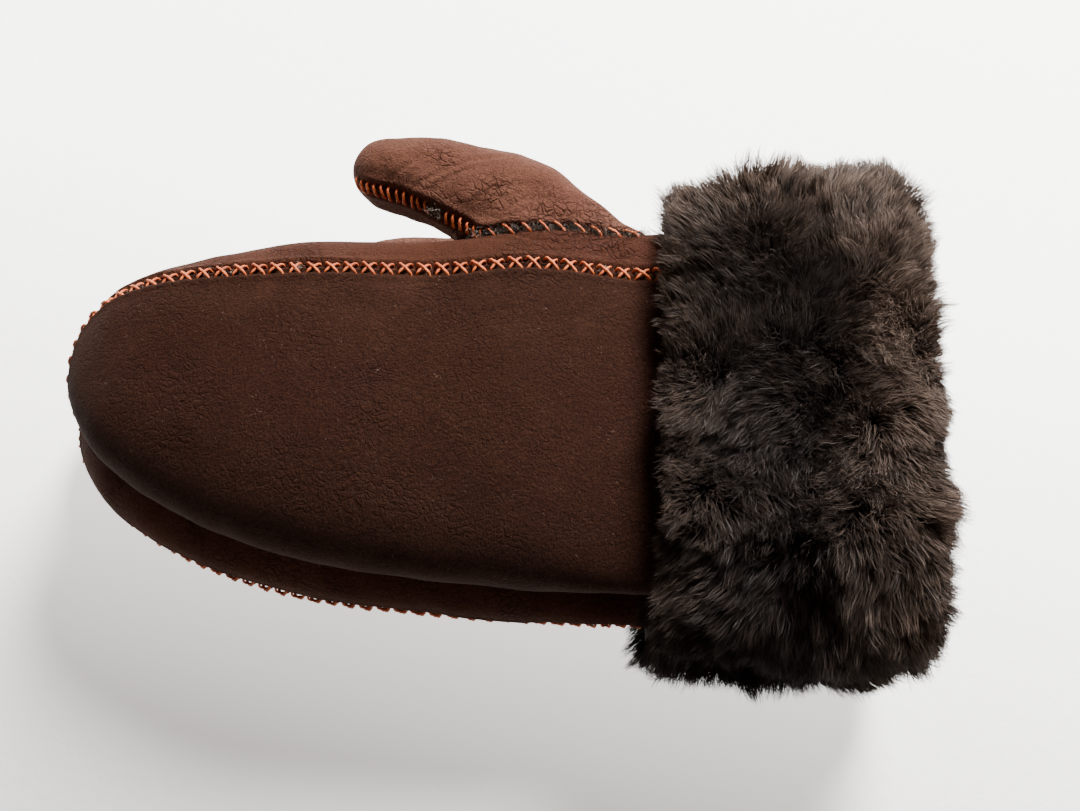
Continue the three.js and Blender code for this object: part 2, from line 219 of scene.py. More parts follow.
def seam_relief(distance):
    """Beside a seam the hide bulges; it dives to the stitches and its cut edges stand up again."""
    ridge = 0.55 * np.exp(-((distance - 3.6) / 1.4) ** 2)
    return ridge - 1.25 * np.exp(-((distance - 1.3) / 1.0) ** 2) - 0.3 * np.exp(-(distance / 0.8) ** 2)


def crease(points, route, depth, width):
    """A fold line pressed into the hide: a sharp furrow with a soft roll on both sides."""
    route = np.array(route, float)
    steps = np.linspace(0, len(route) - 1, 40)
    line = np.stack([np.interp(steps, range(len(route)), route[:, i]) for i in range(2)], -1)
    gap = np.linalg.norm(points[..., None, :2] - line, axis=-1)
    fade = np.sin(math.pi * (gap.argmin(-1) + 1) / 42) ** 0.5
    gap = gap.min(-1)
    roll = 0.4 * np.exp(-((gap - 2.2 * width) / width) ** 2)
    return depth * fade * (roll - np.exp(-(gap / width) ** 2)) * (points[..., 2] > 0)


def across_panel(fine, coarse, reach):
    """Fractions across a sheet, close together near both of its seams."""
    half = [0.0]
    while half[-1] < reach / 2:
        half.append(half[-1] + fine + (coarse - fine) * min(1.0, half[-1] / 14.0))
    half = np.array(half) / half[-1] / 2
    return np.concatenate([half, 1 - half[-2::-1]])


STITCH_PITCH, HOLE_OFFSET = 6.0, 2.3
seams = {side: main_seam(side) for side in FLIP}
seam_trees = {side: tree_of(even_steps(*seams[side], 0.6)[0]) for side in seams}


def hole_tree(places, outward, along, offset):
    """Where the needle went through the hide, on both sides of a seam."""
    sideways = np.cross(outward, along)
    shifted = places - along * STITCH_PITCH / 2
    return tree_of(np.concatenate([shifted + sideways * offset, shifted - sideways * offset]))


def panel_sheet(side, part):
    """A panel's outer and inner grid: the hand, the fold, and back over it as the cuff."""
    tip = TIP_X + (1 - np.cos(np.linspace(0, math.pi / 2, 140))) * (KNUCKLE_X - TIP_X)
    body = np.arange(KNUCKLE_X + 0.9, CUT_EDGE[side] + 2, 0.9)
    sleeve = np.linspace(CUT_EDGE[side] + 4, FOLD[side] - FOLD_RADIUS, 22)
    bend = np.linspace(0, math.pi, 9)[1:-1]
    flat = len(tip) + len(body) + len(sleeve)
    def rows(radius):
        x = np.concatenate([tip, body, sleeve, sleeve[-1] + radius * np.sin(bend), sleeve[::-1],
                            [CUT_EDGE[side]]])
        middle = -BAND_GAP / 2
        inset = np.concatenate([np.full(flat, middle + radius), middle + radius * np.cos(bend),
                                np.full(len(sleeve) + 1, middle - radius)])
        return x[:, None], inset[:, None]
    x, inset = rows(BAND_GAP / 2)
    inner_x, inner_inset = rows(FOLD_RADIUS)
    index, little = seam_angles(side, x[:, 0])
    low, high = (index, little) if part == "back" else (little, index + 2 * math.pi)
    angles = low[:, None] + (high - low)[:, None] * across_panel(0.45, 1.8, 140.0)
    outside = hand_point(side, x, angles, inset)
    inside = hand_point(side, inner_x, angles, inner_inset)
    on_hand = (np.arange(len(x)) < flat)[:, None] & (x < CUT_EDGE[side] + 3)
    holes = hole_tree(*even_steps(*seams[side], STITCH_PITCH), HOLE_OFFSET)
    relief = seam_relief(distance_to(seam_trees[side], outside))
    relief = relief - 0.55 * np.exp(-(distance_to(holes, outside) / 1.1) ** 2)
    free = smooth_step(TIP_X, TIP_X + 14, x) * (1 - 0.8 * smooth_step(14.0, 19.0, -outside[..., 2]))
    if side == "right":
        free = free * (1 - 0.8 * smooth_step(14.0, 19.0, outside[..., 2]))
    offset = {"back": 3.1, "palm": 17.7}[part] + FLIP[side]
    relief = relief + free * (lumps(outside, 38.0, 1.6, offset) + lumps(outside, 11.0, 0.35, offset))
    if part == "palm":
        for route, depth in STRIP_CREASES:
            relief = relief + crease(outside, route, 1.5 * depth, 0.9)
    relief = np.where(on_hand, relief, 0.0)
    normal = grid_normals(outside)
    return outside + normal * relief[..., None], inside + normal * relief[..., None]


STRIP_CREASES = [
    ([(-15, 56), (-5, 49.5), (6, 46)], 0.55),
    ([(-2, 49), (12, 50), (22, 53)], 0.5),
    ([(0, 46.5), (13, 47.5), (24, 51)], 0.4),
    ([(-30, 52), (-18, 50), (-8, 47)], 0.35),
    ([(24, 45), (29, 49), (31, 55)], 0.4),
    ([(18, 43), (25, 45), (30, 50)], 0.3),
]


# Suede is the flesh side of the skin, dyed by hand and brushed: a dark nap with cloudy patches,
# a pebbled grain, a network of fine creases where it bends, darkened with painted shade, and a few
# pale fibres; each piece also darkens along one axis with painted shade.
def node_group(name, ins, outs):
    group = bpy.data.node_groups.new(name, "ShaderNodeTree")
    for label, default in ins:
        socket = group.interface.new_socket(label, in_out="INPUT", socket_type="NodeSocketFloat")
        socket.default_value = default
    for label in outs:
        group.interface.new_socket(label, in_out="OUTPUT", socket_type="NodeSocketFloat")
    return group, group.nodes.new("NodeGroupInput").outputs, group.nodes.new("NodeGroupOutput").inputs


def add(tree, kind, inputs=None, **settings):
    """One node, with its settings, and its inputs given as values or as sockets to join."""
    made = tree.nodes.new(kind)
    for key, value in settings.items():
        setattr(made, key, value)
    for key, value in (inputs or {}).items():
        if isinstance(value, bpy.types.NodeSocket):
            tree.links.new(value, made.inputs[key])
        else:
            made.inputs[key].default_value = value
    return made


def sum_of(tree, *terms):
    """Each term is a socket and its weight."""
    total = 0.0
    for socket, weight in terms:
        total = add(tree, "ShaderNodeMath", {0: socket, 1: weight, 2: total},
                    operation="MULTIPLY_ADD").outputs[0]
    return total


def between(tree, value, low, high, at_low=0.0, at_high=1.0):
    return add(tree, "ShaderNodeMapRange", {"Value": value, "From Min": low, "From Max": high,
                                            "To Min": at_low, "To Max": at_high}).outputs[0]


def ramp(tree, value, stops):
    made = add(tree, "ShaderNodeValToRGB", {"Fac": value})
    elements = made.color_ramp.elements
    while len(elements) < len(stops):
        elements.new(0.5)
    for element, (place, colour) in zip(elements, stops):
        element.position = place
        element.color = (*colour, 1.0)
    return made.outputs["Color"]


def mix(tree, amount, a, b):
    return add(tree, "ShaderNodeMix", {0: amount, 6: a, 7: b}, data_type="RGBA").outputs[2]


def noise_of(tree, where, scale, detail=4.0, roughness=0.55, distortion=0.0):
    return add(tree, "ShaderNodeTexNoise", {"Vector": where, "Scale": scale, "Detail": detail,
                                            "Roughness": roughness,
                                            "Distortion": distortion}).outputs["Fac"]


def make_hide_surface():
    group, ins, outs = node_group("hide_surface", [("Creasing", 1.0)],
                                  ["Cloud", "Tint", "Fleck", "Nap", "Crease", "Height"])
    where = add(group, "ShaderNodeTexCoord").outputs["Object"]
    nap = noise_of(group, where, 1400.0, 3.0, 0.75)
    pebble = noise_of(group, where, 520.0, 4.0, 0.65, 1.2)
    wandering = add(group, "ShaderNodeTexNoise", {"Vector": where, "Scale": 90.0, "Detail": 3.0})
    bent = add(group, "ShaderNodeVectorMath", {0: wandering.outputs["Color"], 1: (0.012,) * 3,
                                               2: where}, operation="MULTIPLY_ADD").outputs[0]
    cell = add(group, "ShaderNodeTexVoronoi", {"Vector": bent, "Scale": 330.0},
               feature="DISTANCE_TO_EDGE").outputs["Distance"]
    line = between(group, cell, 0.0, 0.16, 1.0, 0.0)
    patch = between(group, noise_of(group, where, 48.0, 2.0), 0.4, 0.66)
    crease_here = add(group, "ShaderNodeMath", {0: line, 1: patch}, operation="MULTIPLY").outputs[0]
    creased = add(group, "ShaderNodeMath", {0: crease_here, 1: ins["Creasing"]},
                  operation="MULTIPLY").outputs[0]
    fleck = between(group, noise_of(group, where, 800.0, 1.0, 0.5, 2.5), 0.72, 0.8)
    group.links.new(noise_of(group, where, 26.0, 5.0, 0.62, 0.8), outs["Cloud"])
    group.links.new(noise_of(group, where, 17.0, 3.0, 0.5, 0.4), outs["Tint"])
    group.links.new(fleck, outs["Fleck"])
    group.links.new(nap, outs["Nap"])
    group.links.new(creased, outs["Crease"])
    group.links.new(sum_of(group, (nap, 0.5), (pebble, 0.8), (creased, -0.9)), outs["Height"])
    return group


hide_surface = make_hide_surface()


def suede(name, dark, mid, light, wine, creasing, painted_shade):
    """dark, mid and light are the dye from its deepest cloud to its lightest; wine tints patches.

    The last argument gives painted shade that darkens the colour: axis, place with none, place with most,
    amount."""
    material = bpy.data.materials.new(name)
    material.use_nodes = True
    tree = material.node_tree
    shader = tree.nodes["Principled BSDF"]
    surface = add(tree, "ShaderNodeGroup", node_tree=hide_surface)
    surface.inputs["Creasing"].default_value = creasing
    out = surface.outputs
    dyed = ramp(tree, out["Cloud"], [(0.36, dark), (0.5, mid), (0.64, light)])
    dyed = mix(tree, between(tree, out["Tint"], 0.48, 0.66, 0.0, 0.85), dyed, (*wine, 1.0))
    # Painted shade: the colour darkens along one axis, with a little wobble from the cloud.
    axis, low, high, amount = painted_shade
    place = add(tree, "ShaderNodeSeparateXYZ", {0: add(tree, "ShaderNodeTexCoord").outputs["Object"]})
    wavering = sum_of(tree, (place.outputs[axis], 1.0),
                      (out["Cloud"], math.copysign(0.05, high - low)))
    dyed = mix(tree, between(tree, wavering, low, high, 0.0, amount), dyed,
               (*[0.6 * c for c in dark], 1.0))
    napped = mix(tree, between(tree, out["Nap"], 0.35, 0.75), mix(tree, 0.6, dyed, (*dark, 1.0)),
                 mix(tree, 0.4, dyed, (*[1.9 * c for c in light], 1.0)))
    # Painted shade: the crease lines are darkened in colour on top of their bump.
    lined = mix(tree, between(tree, out["Crease"], 0.0, 1.0, 0.0, 0.7), napped,
                (*[0.4 * c for c in dark], 1.0))
    tree.links.new(mix(tree, between(tree, out["Fleck"], 0.0, 1.0, 0.0, 0.3), lined,
                       (0.26, 0.19, 0.15, 1.0)), shader.inputs["Base Color"])
    tree.links.new(between(tree, out["Cloud"], 0.2, 0.8, 0.98, 0.8), shader.inputs["Roughness"])
    bump = add(tree, "ShaderNodeBump", {"Height": out["Height"], "Strength": 0.9, "Distance": 0.001})
    tree.links.new(bump.outputs["Normal"], shader.inputs["Normal"])
    shader.inputs["Specular IOR Level"].default_value = 0.08
    shader.inputs["Sheen Weight"].default_value = 0.03
    shader.inputs["Sheen Roughness"].default_value = 0.45
    shader.inputs["Sheen Tint"].default_value = (0.85, 0.38, 0.22, 1.0)
    return material


# Each last tuple is painted shade: the back darkens towards its near edge, the palm strip towards the cuff,
# the thumb towards its tip.
back_suede = suede("back_suede", (0.0092, 0.0027, 0.0017), (0.0200, 0.0063, 0.0034),
                   (0.038, 0.0138, 0.0066), (0.0115, 0.0017, 0.0020), 0.3, ("Y", 0.045, -0.07, 0.7))
# The palm strip and thumb are lighter than the back partly as their own colour and partly as painted light
# where they face the window.
palm_suede = suede("palm_suede", (0.022, 0.0066, 0.0036), (0.042, 0.0128, 0.0066),
                   (0.064, 0.0208, 0.0106), (0.037, 0.0092, 0.0063), 0.8, ("X", -0.09, 0.05, 0.6))
thumb_suede = suede("thumb_suede", (0.045, 0.0165, 0.0100), (0.080, 0.0315, 0.0195),
                    (0.114, 0.0480, 0.0305), (0.070, 0.0235, 0.0170), 0.85, ("X", 0.0, -0.085, 0.25))

# ------------------------------------------------------------------ thumbs
# Each thumb is one folded piece of hide, whipped shut along the side that faces the fingers and
# sewn into a hole in the palm panel.
THUMB_AXIS = {"left": [(35.5, 36.5), (-23, 84.3), (-66, 81.3)],
              "right": [(31.5, 36.5), (-21, 75.5), (-68, 65.3)]}
THUMB_LIFT = {"left": 1.0, "right": 5.0}
THUMB_BASE_HALF, THUMB_BALL_HALF, THUMB_TIP_HALF = 13.0, 19.5, 13.4
THUMB_BASE_HALF_HEIGHT, THUMB_HALF_HEIGHT, THUMB_TIP_LENGTH = 4.0, 13.0, 30.0
SIDE_SEAM_ANGLE = 0.5
THUMB_CREASES = [
    ([(-43, 69), (-34, 74), (-24, 79), (-12, 82)], 0.6),
    ([(-36, 68), (-27, 74), (-14, 78)], 0.4),
    ([(-24, 62), (-14, 68), (-2, 71)], 0.55),
    ([(-12, 60), (-4, 65), (8, 66)], 0.5),
    ([(2, 58), (10, 60), (18, 59)], 0.4),
    ([(-52, 72), (-45, 77), (-38, 81)], 0.3),
]


def thumb_frame(side, t):
    t = np.asarray(t, float)[..., None]
    p0, p1, p2 = [np.array(p, float) for p in THUMB_AXIS[side]]
    point = (1 - t) ** 2 * p0 + 2 * t * (1 - t) * p1 + t ** 2 * p2
    along = unit(2 * (1 - t) * (p1 - p0) + 2 * t * (p2 - p1))
    return point, np.stack([-along[..., 1], along[..., 0]], -1)


def thumb_point(side, t, angle, inset=0.0):
    """A point of the thumb's surface; angle 0 faces the fingers, a quarter turn is up."""
    t, angle, inset = np.broadcast_arrays(*[np.asarray(v, float) for v in (t, angle, inset)])
    axis = thumb_frame(side, np.linspace(0, 1, 200))[0]
    to_tip = np.linalg.norm(np.diff(axis, axis=0), axis=1).sum() * (1 - t) - inset
    rise = round_end(to_tip / (THUMB_TIP_LENGTH - inset), 2.2)
    grown = smooth_step(0.0, 0.36, t)
    ball = THUMB_BASE_HALF + (THUMB_BALL_HALF - THUMB_BASE_HALF) * grown
    wide = (ball + (THUMB_TIP_HALF - ball) * smooth_step(0.4, 0.85, t) - inset) * rise
    thicker = (THUMB_HALF_HEIGHT - THUMB_BASE_HALF_HEIGHT) * smooth_step(0.0, 0.5, t)
    high = THUMB_BASE_HALF_HEIGHT + thicker
    point, sideways = thumb_frame(side, t)
    xy = point + sideways * (wide * signed_power(np.cos(angle), 0.9))[..., None]
    z = THUMB_LIFT[side] + (high - inset) * rise * signed_power(np.sin(angle), 0.9)
    return np.concatenate([xy, z[..., None]], -1)


def thumb_normal(side, t, angle):
    around = thumb_point(side, t, angle + 0.02) - thumb_point(side, t, angle - 0.02)
    along = thumb_point(side, t + 0.01, angle) - thumb_point(side, t - 0.01, angle)
    return unit(np.cross(around, along))


def thumb_base(side, angles, clearance=0.0):
    """How far along the thumb its skin comes out of the hand, at each angle round it."""
    inside, outside = np.zeros_like(angles), np.full_like(angles, 0.95)
    for _ in range(30):
        t = (inside + outside) / 2
        points = thumb_point(side, t, angles)
        centre, half, high, bulge, power = hand_section(points[..., 0], -clearance)
        out = (np.abs(points[..., 1] - centre) / (half + bulge)) ** power + (
            np.abs(points[..., 2]) / high) ** power
        inside, outside = np.where(out < 1, t, inside), np.where(out < 1, outside, t)
    return outside


def base_seam(side):
    """The seam round the thumb's base, with the direction out of the crook between both skins."""
    angles = np.linspace(SIDE_SEAM_ANGLE, SIDE_SEAM_ANGLE + 2 * math.pi, 300)
    t = thumb_base(side, angles)
    points = thumb_point(side, t, angles)
    hand_out = unit(points * [0.0, 0.0, 1.0] + [0.0, 10.0, 0.0])
    return points, unit(thumb_normal(side, t, angles) + hand_out)


def side_seam(side):
    t = np.linspace(0.42, 0.985, 120)
    angles = np.full_like(t, SIDE_SEAM_ANGLE)
    return thumb_point(side, t, angles), thumb_normal(side, t, angles)


base_trees = {side: tree_of(base_seam(side)[0]) for side in FLIP}
side_trees = {side: tree_of(side_seam(side)[0]) for side in FLIP}


def thumb_sheet(side):
    spread = across_panel(0.45, 1.1, 92.0)
    angles = SIDE_SEAM_ANGLE + 0.012 + spread * (2 * math.pi - 0.024)
    start = thumb_base(side, angles, -0.6)
    steps = np.sin(np.linspace(0, math.pi / 2, 110))
    t = start[None, :] + (1.0 - start)[None, :] * steps[:, None]
    outside = thumb_point(side, t, np.broadcast_to(angles[None, :], t.shape))
    fade = smooth_step(0.0, 0.1, 1 - t)
    relief = seam_relief(distance_to(side_trees[side], outside)) * fade
    relief = relief + seam_relief(distance_to(base_trees[side], outside))
    relief = relief + fade * (lumps(outside, 16.0, 1.2, 5.3) + lumps(outside, 6.0, 0.35, 8.8))
    for route, depth in THUMB_CREASES:
        relief = relief + crease(outside, route, depth, 0.8) * fade
    normal = grid_normals(outside)
    normal[-1] = unit((outside[-1] - outside[-8]).mean(0))
    outside = outside + normal * relief[..., None]
    return outside, outside - normal * HIDE


def bend_at_thumb(obj):
    """Bakes the piece's placement into its points."""
    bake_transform(obj)


for side in FLIP:
    outside, inside = thumb_sheet(side)
    points, faces = shell(outside, inside)
    thumb = piece(f"{side}_thumb_suede", side, points, faces, thumb_suede)
    bend_at_thumb(thumb)
    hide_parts(f"{side}_thumb_panel")


def inside_thumb(side, points, inset):
    """Whether each point lies in the thumb, at least inset below its skin."""
    ts = np.linspace(0, 0.95, 120)
    axis = thumb_frame(side, ts)[0]
    gaps = np.linalg.norm(points[:, None, :2] - axis[None], axis=2)
    nearest = ts[gaps.argmin(1)]
    wide = (thumb_point(side, nearest, 0.0, inset)[..., :2] - axis[gaps.argmin(1)])
    wide = np.linalg.norm(wide, axis=1)
    high = thumb_point(side, nearest, math.pi / 2, inset)[..., 2] - THUMB_LIFT[side]
    up = np.abs(points[:, 2] - THUMB_LIFT[side]) / np.maximum(high, 0.1)
    return (gaps.min(1) / np.maximum(wide, 0.1)) ** 2.2 + up ** 2.2 < 1


# The two panels of each hand can be cut now that the thumb says where its hole is.
for side in FLIP:
    for part, finish in (("back", back_suede), ("palm", palm_suede)):
        points, faces = shell(*panel_sheet(side, part))
        if part == "palm":
            faces = faces[~inside_thumb(side, points[faces].mean(1), 3.0)]
        panel = piece(f"{side}_{part}_suede", side, points, faces, finish)
        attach(panel, f"{side}_mitten")
        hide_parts(f"{side}_{part}_panel")

# ------------------------------------------------------------------ stitching
# Waxed rust-orange thread, sewn by hand. Round the hand it crosses over the butted edges in a row
# of X shapes; the thumb's side and base are whipped with single slanting stitches.
THREAD_RADIUS = 0.5


def thread_mesh(name, side, paths, radii):
    """Stitches as tubes of twisted two-ply thread. paths: stitch, step, xyz."""
    paths = np.asarray(paths)
    count, steps = paths.shape[:2]
    sides = 10
    tangent = unit(np.gradient(paths, axis=1))
    rough_up = paths[:, steps // 2] - (paths[:, 0] + paths[:, -1]) / 2
    across = unit(np.cross(tangent, unit(rough_up)[:, None, :]))
    up = np.cross(across, tangent)
    turn = np.linspace(0, 2 * math.pi, sides, endpoint=False)
    ply = 1 + 0.16 * np.cos(2 * turn[None, None, :] + np.arange(steps)[None, :, None] * 1.1)
    radius = np.asarray(radii)[:, None, None] * ply
    ring = across[:, :, None] * np.cos(turn)[:, None] + up[:, :, None] * np.sin(turn)[:, None]
    points = paths[:, :, None] + ring * radius[..., None]
    start = (np.arange(count) * steps * sides)[:, None, None]
    ring_start = (np.arange(steps - 1) * sides)[None, :, None]
    k = np.arange(sides)[None, None, :]
    a = start + ring_start
    n = (k + 1) % sides
    faces = np.stack([a + k, a + n, a + n + sides, a + k + sides], -1).reshape(-1, 4)
    ends = np.concatenate([start[:, 0] + np.array([[0, 3, 6, 9]]),
                           start[:, 0] + (steps - 1) * sides + np.array([[9, 6, 3, 0]])])
    return piece(name, side, points.reshape(-1, 3), np.concatenate([faces, ends]), thread_finish)


def stitch(place, out, along, start, end, height, steps=15):
    """One stitch from one needle hole to the other; start and end are (along, across) the seam."""
    u = np.linspace(0, 1, steps)[:, None]
    across = np.cross(out, along)
    arch = (1 - np.abs(2 * u - 1) ** 3) ** (1 / 3)
    forward, sideways = [a + (b - a) * u for a, b in zip(start, end)]
    depth = 1.5
    return place + forward * along + sideways * across + out * ((height + depth) * arch - depth)


def cross_stitches(side, rng):
    paths, radii = [], []
    places, outward, along = even_steps(*seams[side], STITCH_PITCH)
    for place, out, forward in zip(places, outward, along):
        w = 0.37 * STITCH_PITCH + rng.normal(0, 0.16)
        h = HOLE_OFFSET - 0.1 + rng.normal(0, 0.15)
        slip = rng.normal(0, 0.15)
        under, over = 0.55 + rng.normal(0, 0.08), 1.05 + rng.normal(0, 0.1)
        paths.append(stitch(place, out, forward, (-w, -h), (w + slip, h), under))
        paths.append(stitch(place, out, forward, (w, -h - slip), (-w, h + 0.5), over))
        radii += [0.85 * THREAD_RADIUS, THREAD_RADIUS * rng.uniform(0.92, 1.08)]
    return paths, radii


def whip_stitches(line, pitch, start, end, height, rng, skip=()):
    paths, radii = [], []
    for i, (place, out, forward) in enumerate(zip(*even_steps(*line, pitch))):
        if i in skip:
            continue
        a = np.array(start) + rng.normal(0, 0.22, 2)
        b = np.array(end) + rng.normal(0, 0.22, 2)
        paths.append(stitch(place, out, forward, a, b, height + rng.normal(0, 0.1)))
        radii.append(THREAD_RADIUS * rng.uniform(0.85, 1.05))
    return paths, radii


def waxed_thread():
    material = bpy.data.materials.new("rust_thread")
    material.use_nodes = True
    tree = material.node_tree
    shader = tree.nodes["Principled BSDF"]
    where = add(tree, "ShaderNodeTexCoord").outputs["Object"]
    wear = noise_of(tree, where, 160.0, 3.0, 0.6)
    fibre = noise_of(tree, where, 2600.0, 2.0, 0.7)
    colour = ramp(tree, wear, [(0.3, (0.34, 0.055, 0.012)), (0.5, (0.62, 0.125, 0.030)),
                               (0.72, (0.78, 0.20, 0.065))])
    dark = mix(tree, between(tree, fibre, 0.35, 0.65, 0.45, 0.0), colour, (0.13, 0.03, 0.012, 1.0))
    tree.links.new(dark, shader.inputs["Base Color"])
    tree.links.new(between(tree, fibre, 0.2, 0.8, 0.75, 0.5), shader.inputs["Roughness"])
    bump = add(tree, "ShaderNodeBump", {"Height": fibre, "Strength": 0.5, "Distance": 0.0002})
    tree.links.new(bump.outputs["Normal"], shader.inputs["Normal"])
    shader.inputs["Specular IOR Level"].default_value = 0.35
    return material


thread_finish = waxed_thread()
for side in FLIP:
    rng = np.random.default_rng(7)
    main_thread = thread_mesh(f"{side}_main_stitches", side, *cross_stitches(side, rng))
    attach(main_thread, f"{side}_mitten")
    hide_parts(f"{side}_main_seam_thread")
    side_thread = thread_mesh(f"{side}_thumb_side_stitches", side, *whip_stitches(
        side_seam(side), 2.75, (1.0, -1.8), (-0.8, 2.5), 0.8, rng, skip=(6, 7)))
    base_thread = thread_mesh(f"{side}_thumb_base_stitches", side, *whip_stitches(
        base_seam(side), 6.0, (-1.9, 3.3), (1.9, -1.7), 1.5, rng))
    for thread, node in ((side_thread, "thumb_side_thread"), (base_thread, "thumb_base_thread")):
        bend_at_thumb(thread)
        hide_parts(f"{side}_{node}")

# ------------------------------------------------------------------ wool lining
# The wool side of the same skins, clipped short, fills the mitten. It is one dense dark layer,
# lumpy where it is pressed, and its curls show at the mouth.
LINING_WOOL, LINING_WOOL_AT_WRIST, THUMB_WOOL = 7.5, 4.0, 3.4


def scatter(grid, count, rng):
    """Places spread evenly over a surface grid, as corner weights that suit any of its values."""
    a, b, c, d = grid[:-1, :-1], grid[1:, :-1], grid[1:, 1:], grid[:-1, 1:]
    area = np.linalg.norm(np.cross(c - a, b - d), axis=-1).ravel()
    cell = rng.choice(area.size, count, p=area / area.sum())
    i, j = np.divmod(cell, grid.shape[1] - 1)
    u, v = rng.random((2, count, 1))
    def pick(values):
        values = values if values.ndim == 3 else values[..., None]
        return ((1 - u) * (1 - v) * values[i, j] + u * (1 - v) * values[i + 1, j]
                + u * v * values[i + 1, j + 1] + (1 - u) * v * values[i, j + 1])
    return pick


def wool_paths(roots, ups, leans, lengths, rng, tuft, pull, curl):
    """Fibres that leave the skin along ups, bend over along leans and gather in tufts."""
    count = len(roots)
    leaders = rng.choice(count, max(4, count // tuft), replace=False)
    tree = tree_of(roots[leaders])
    nearest = leaders[np.array([tree.find(p)[1] for p in roots])]
    leans = leans + rng.normal(0, 0.16, (count, 3))[nearest] + rng.normal(0, 0.13, (count, 3))
    lengths = lengths * (1 + 0.12 * rng.normal(0, 1, count)[nearest]).clip(0.6, 1.3)
    lengths = lengths * rng.uniform(0.75, 1.1, count)
    steps = np.array([0.0, 0.3, 0.58, 0.82, 1.0])
    path = [roots]
    for low, high in zip(steps[:-1], steps[1:]):
        u = (low + high) / 2
        way = unit(ups * (1 - 0.3 * u) + leans * (0.35 + 0.9 * u))
        path.append(path[-1] + way * (lengths * (high - low))[:, None])
    path = np.stack(path, 1)
    offset = (roots - roots[nearest])[:, None, :]
    gathered = path[nearest] + offset * (1 - 0.8 * steps ** 1.2)[None, :, None]
    weight = (pull * steps ** 1.1)[None, :, None]
    path = path * (1 - weight) + gathered * weight
    wave = rng.normal(0, 1, (count, 1, 3)) * np.sin(steps * 7)[None, :, None]
    wave = wave + rng.normal(0, 1, (count, 1, 3))[nearest] * np.cos(steps * 5)[None, :, None]
    return path + wave * curl * steps[None, :, None], nearest


def wool_mesh(name, side, paths, widths, tone, material, rng, limit=None):
    """Fibres as flat tapering ribbons. The map gives each its tone across and root to tip up."""
    count = len(paths)
    if limit is not None:
        paths = limit(paths)
    tangent = unit(np.gradient(paths, axis=1))
    facing = unit(rng.normal(0, 1, (count, 1, 3)))
    across = unit(np.cross(tangent, facing)) * (np.asarray(widths)[:, None, None] / 2)
    taper = np.array([0.8, 1.0, 0.85, 0.55])[None, :, None]
    left, right = paths[:, :4] - across[:, :4] * taper, paths[:, :4] + across[:, :4] * taper
    points = np.concatenate([np.stack([left, right], 2).reshape(count, 8, 3), paths[:, 4:]], 1)
    quads = np.array([0, 1, 3, 2, 2, 3, 5, 4, 4, 5, 7, 6, 6, 7, 8])
    corners = (np.arange(count)[:, None] * 9 + quads).ravel()
    starts = (np.arange(count)[:, None] * 15 + np.array([0, 4, 8, 12])).ravel()
    mesh = bpy.data.meshes.new(name)
    mesh.vertices.add(count * 9)
    mesh.vertices.foreach_set("co", lay(side, points).ravel())
    mesh.loops.add(len(corners))
    mesh.loops.foreach_set("vertex_index", corners)
    mesh.polygons.add(len(starts))
    mesh.polygons.foreach_set("loop_start", starts)
    mesh.polygons.foreach_set("use_smooth", [True] * len(starts))
    mesh.update(calc_edges=True)
    height = np.array([0.02, 0.02, 0.3, 0.3, 0.58, 0.58, 0.82, 0.82, 0.98])[quads]
    uv = np.stack([np.repeat(np.clip(tone, 0.02, 0.98), 15), np.tile(height, count)], -1)
    mesh.uv_layers.new(name="OFBake").data.foreach_set("uv", uv.ravel())
    mesh.materials.append(material)
    obj = bpy.data.objects.new(name, mesh)
    bpy.context.scene.collection.objects.link(obj)
    return obj


def wool_finish(name, root, dark, light):
    """Wool coloured from root to tip; a fibre's tone runs from dark to pale tips, and on the cuff that tone
    is painted light.
    """
    material = bpy.data.materials.new(name)
    material.use_nodes = True
    tree = material.node_tree
    shader = tree.nodes["Principled BSDF"]
    fibre_map = add(tree, "ShaderNodeUVMap", uv_map="OFBake").outputs[0]
    place = add(tree, "ShaderNodeSeparateXYZ", {0: fibre_map})
    tone, height = place.outputs[0], place.outputs[1]
    deep = ramp(tree, height, [(0.0, root), (0.55, dark), (1.0, [1.7 * c for c in dark])])
    pale = ramp(tree, height, [(0.0, root), (0.45, dark), (0.8, [0.6 * c for c in light]),
                               (1.0, light)])
    tree.links.new(mix(tree, tone, deep, pale), shader.inputs["Base Color"])
    tree.links.new(between(tree, height, 0.0, 1.0, 0.9, 0.5), shader.inputs["Roughness"])
    shader.inputs["Specular IOR Level"].default_value = 0.13
    shader.inputs["Sheen Weight"].default_value = 0.03
    shader.inputs["Sheen Roughness"].default_value = 0.4
    return material


def fleece_bed(name, colour, pale):
    """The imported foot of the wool, seen only between fibres and inside the mitten."""
    material = bpy.data.materials.new(name)
    material.use_nodes = True
    tree = material.node_tree
    shader = tree.nodes["Principled BSDF"]
    where = add(tree, "ShaderNodeTexCoord").outputs["Object"]
    curl = noise_of(tree, where, 420.0, 5.0, 0.7, 3.0)
    tuft = add(tree, "ShaderNodeTexVoronoi", {"Vector": where, "Scale": 260.0}, feature="SMOOTH_F1")
    shade = sum_of(tree, (curl, 0.7), (tuft.outputs["Distance"], 0.5))
    tree.links.new(ramp(tree, shade, [(0.3, [0.5 * c for c in colour]), (0.6, colour), (0.85, pale)]),
                   shader.inputs["Base Color"])
    bump = add(tree, "ShaderNodeBump", {"Height": shade, "Strength": 0.9, "Distance": 0.002})
    tree.links.new(bump.outputs["Normal"], shader.inputs["Normal"])
    tree.links.new(between(tree, curl, 0.2, 0.8, 1.0, 0.8), shader.inputs["Roughness"])
    shader.inputs["Specular IOR Level"].default_value = 0.15
    shader.inputs["Sheen Weight"].default_value = 0.2
    return material


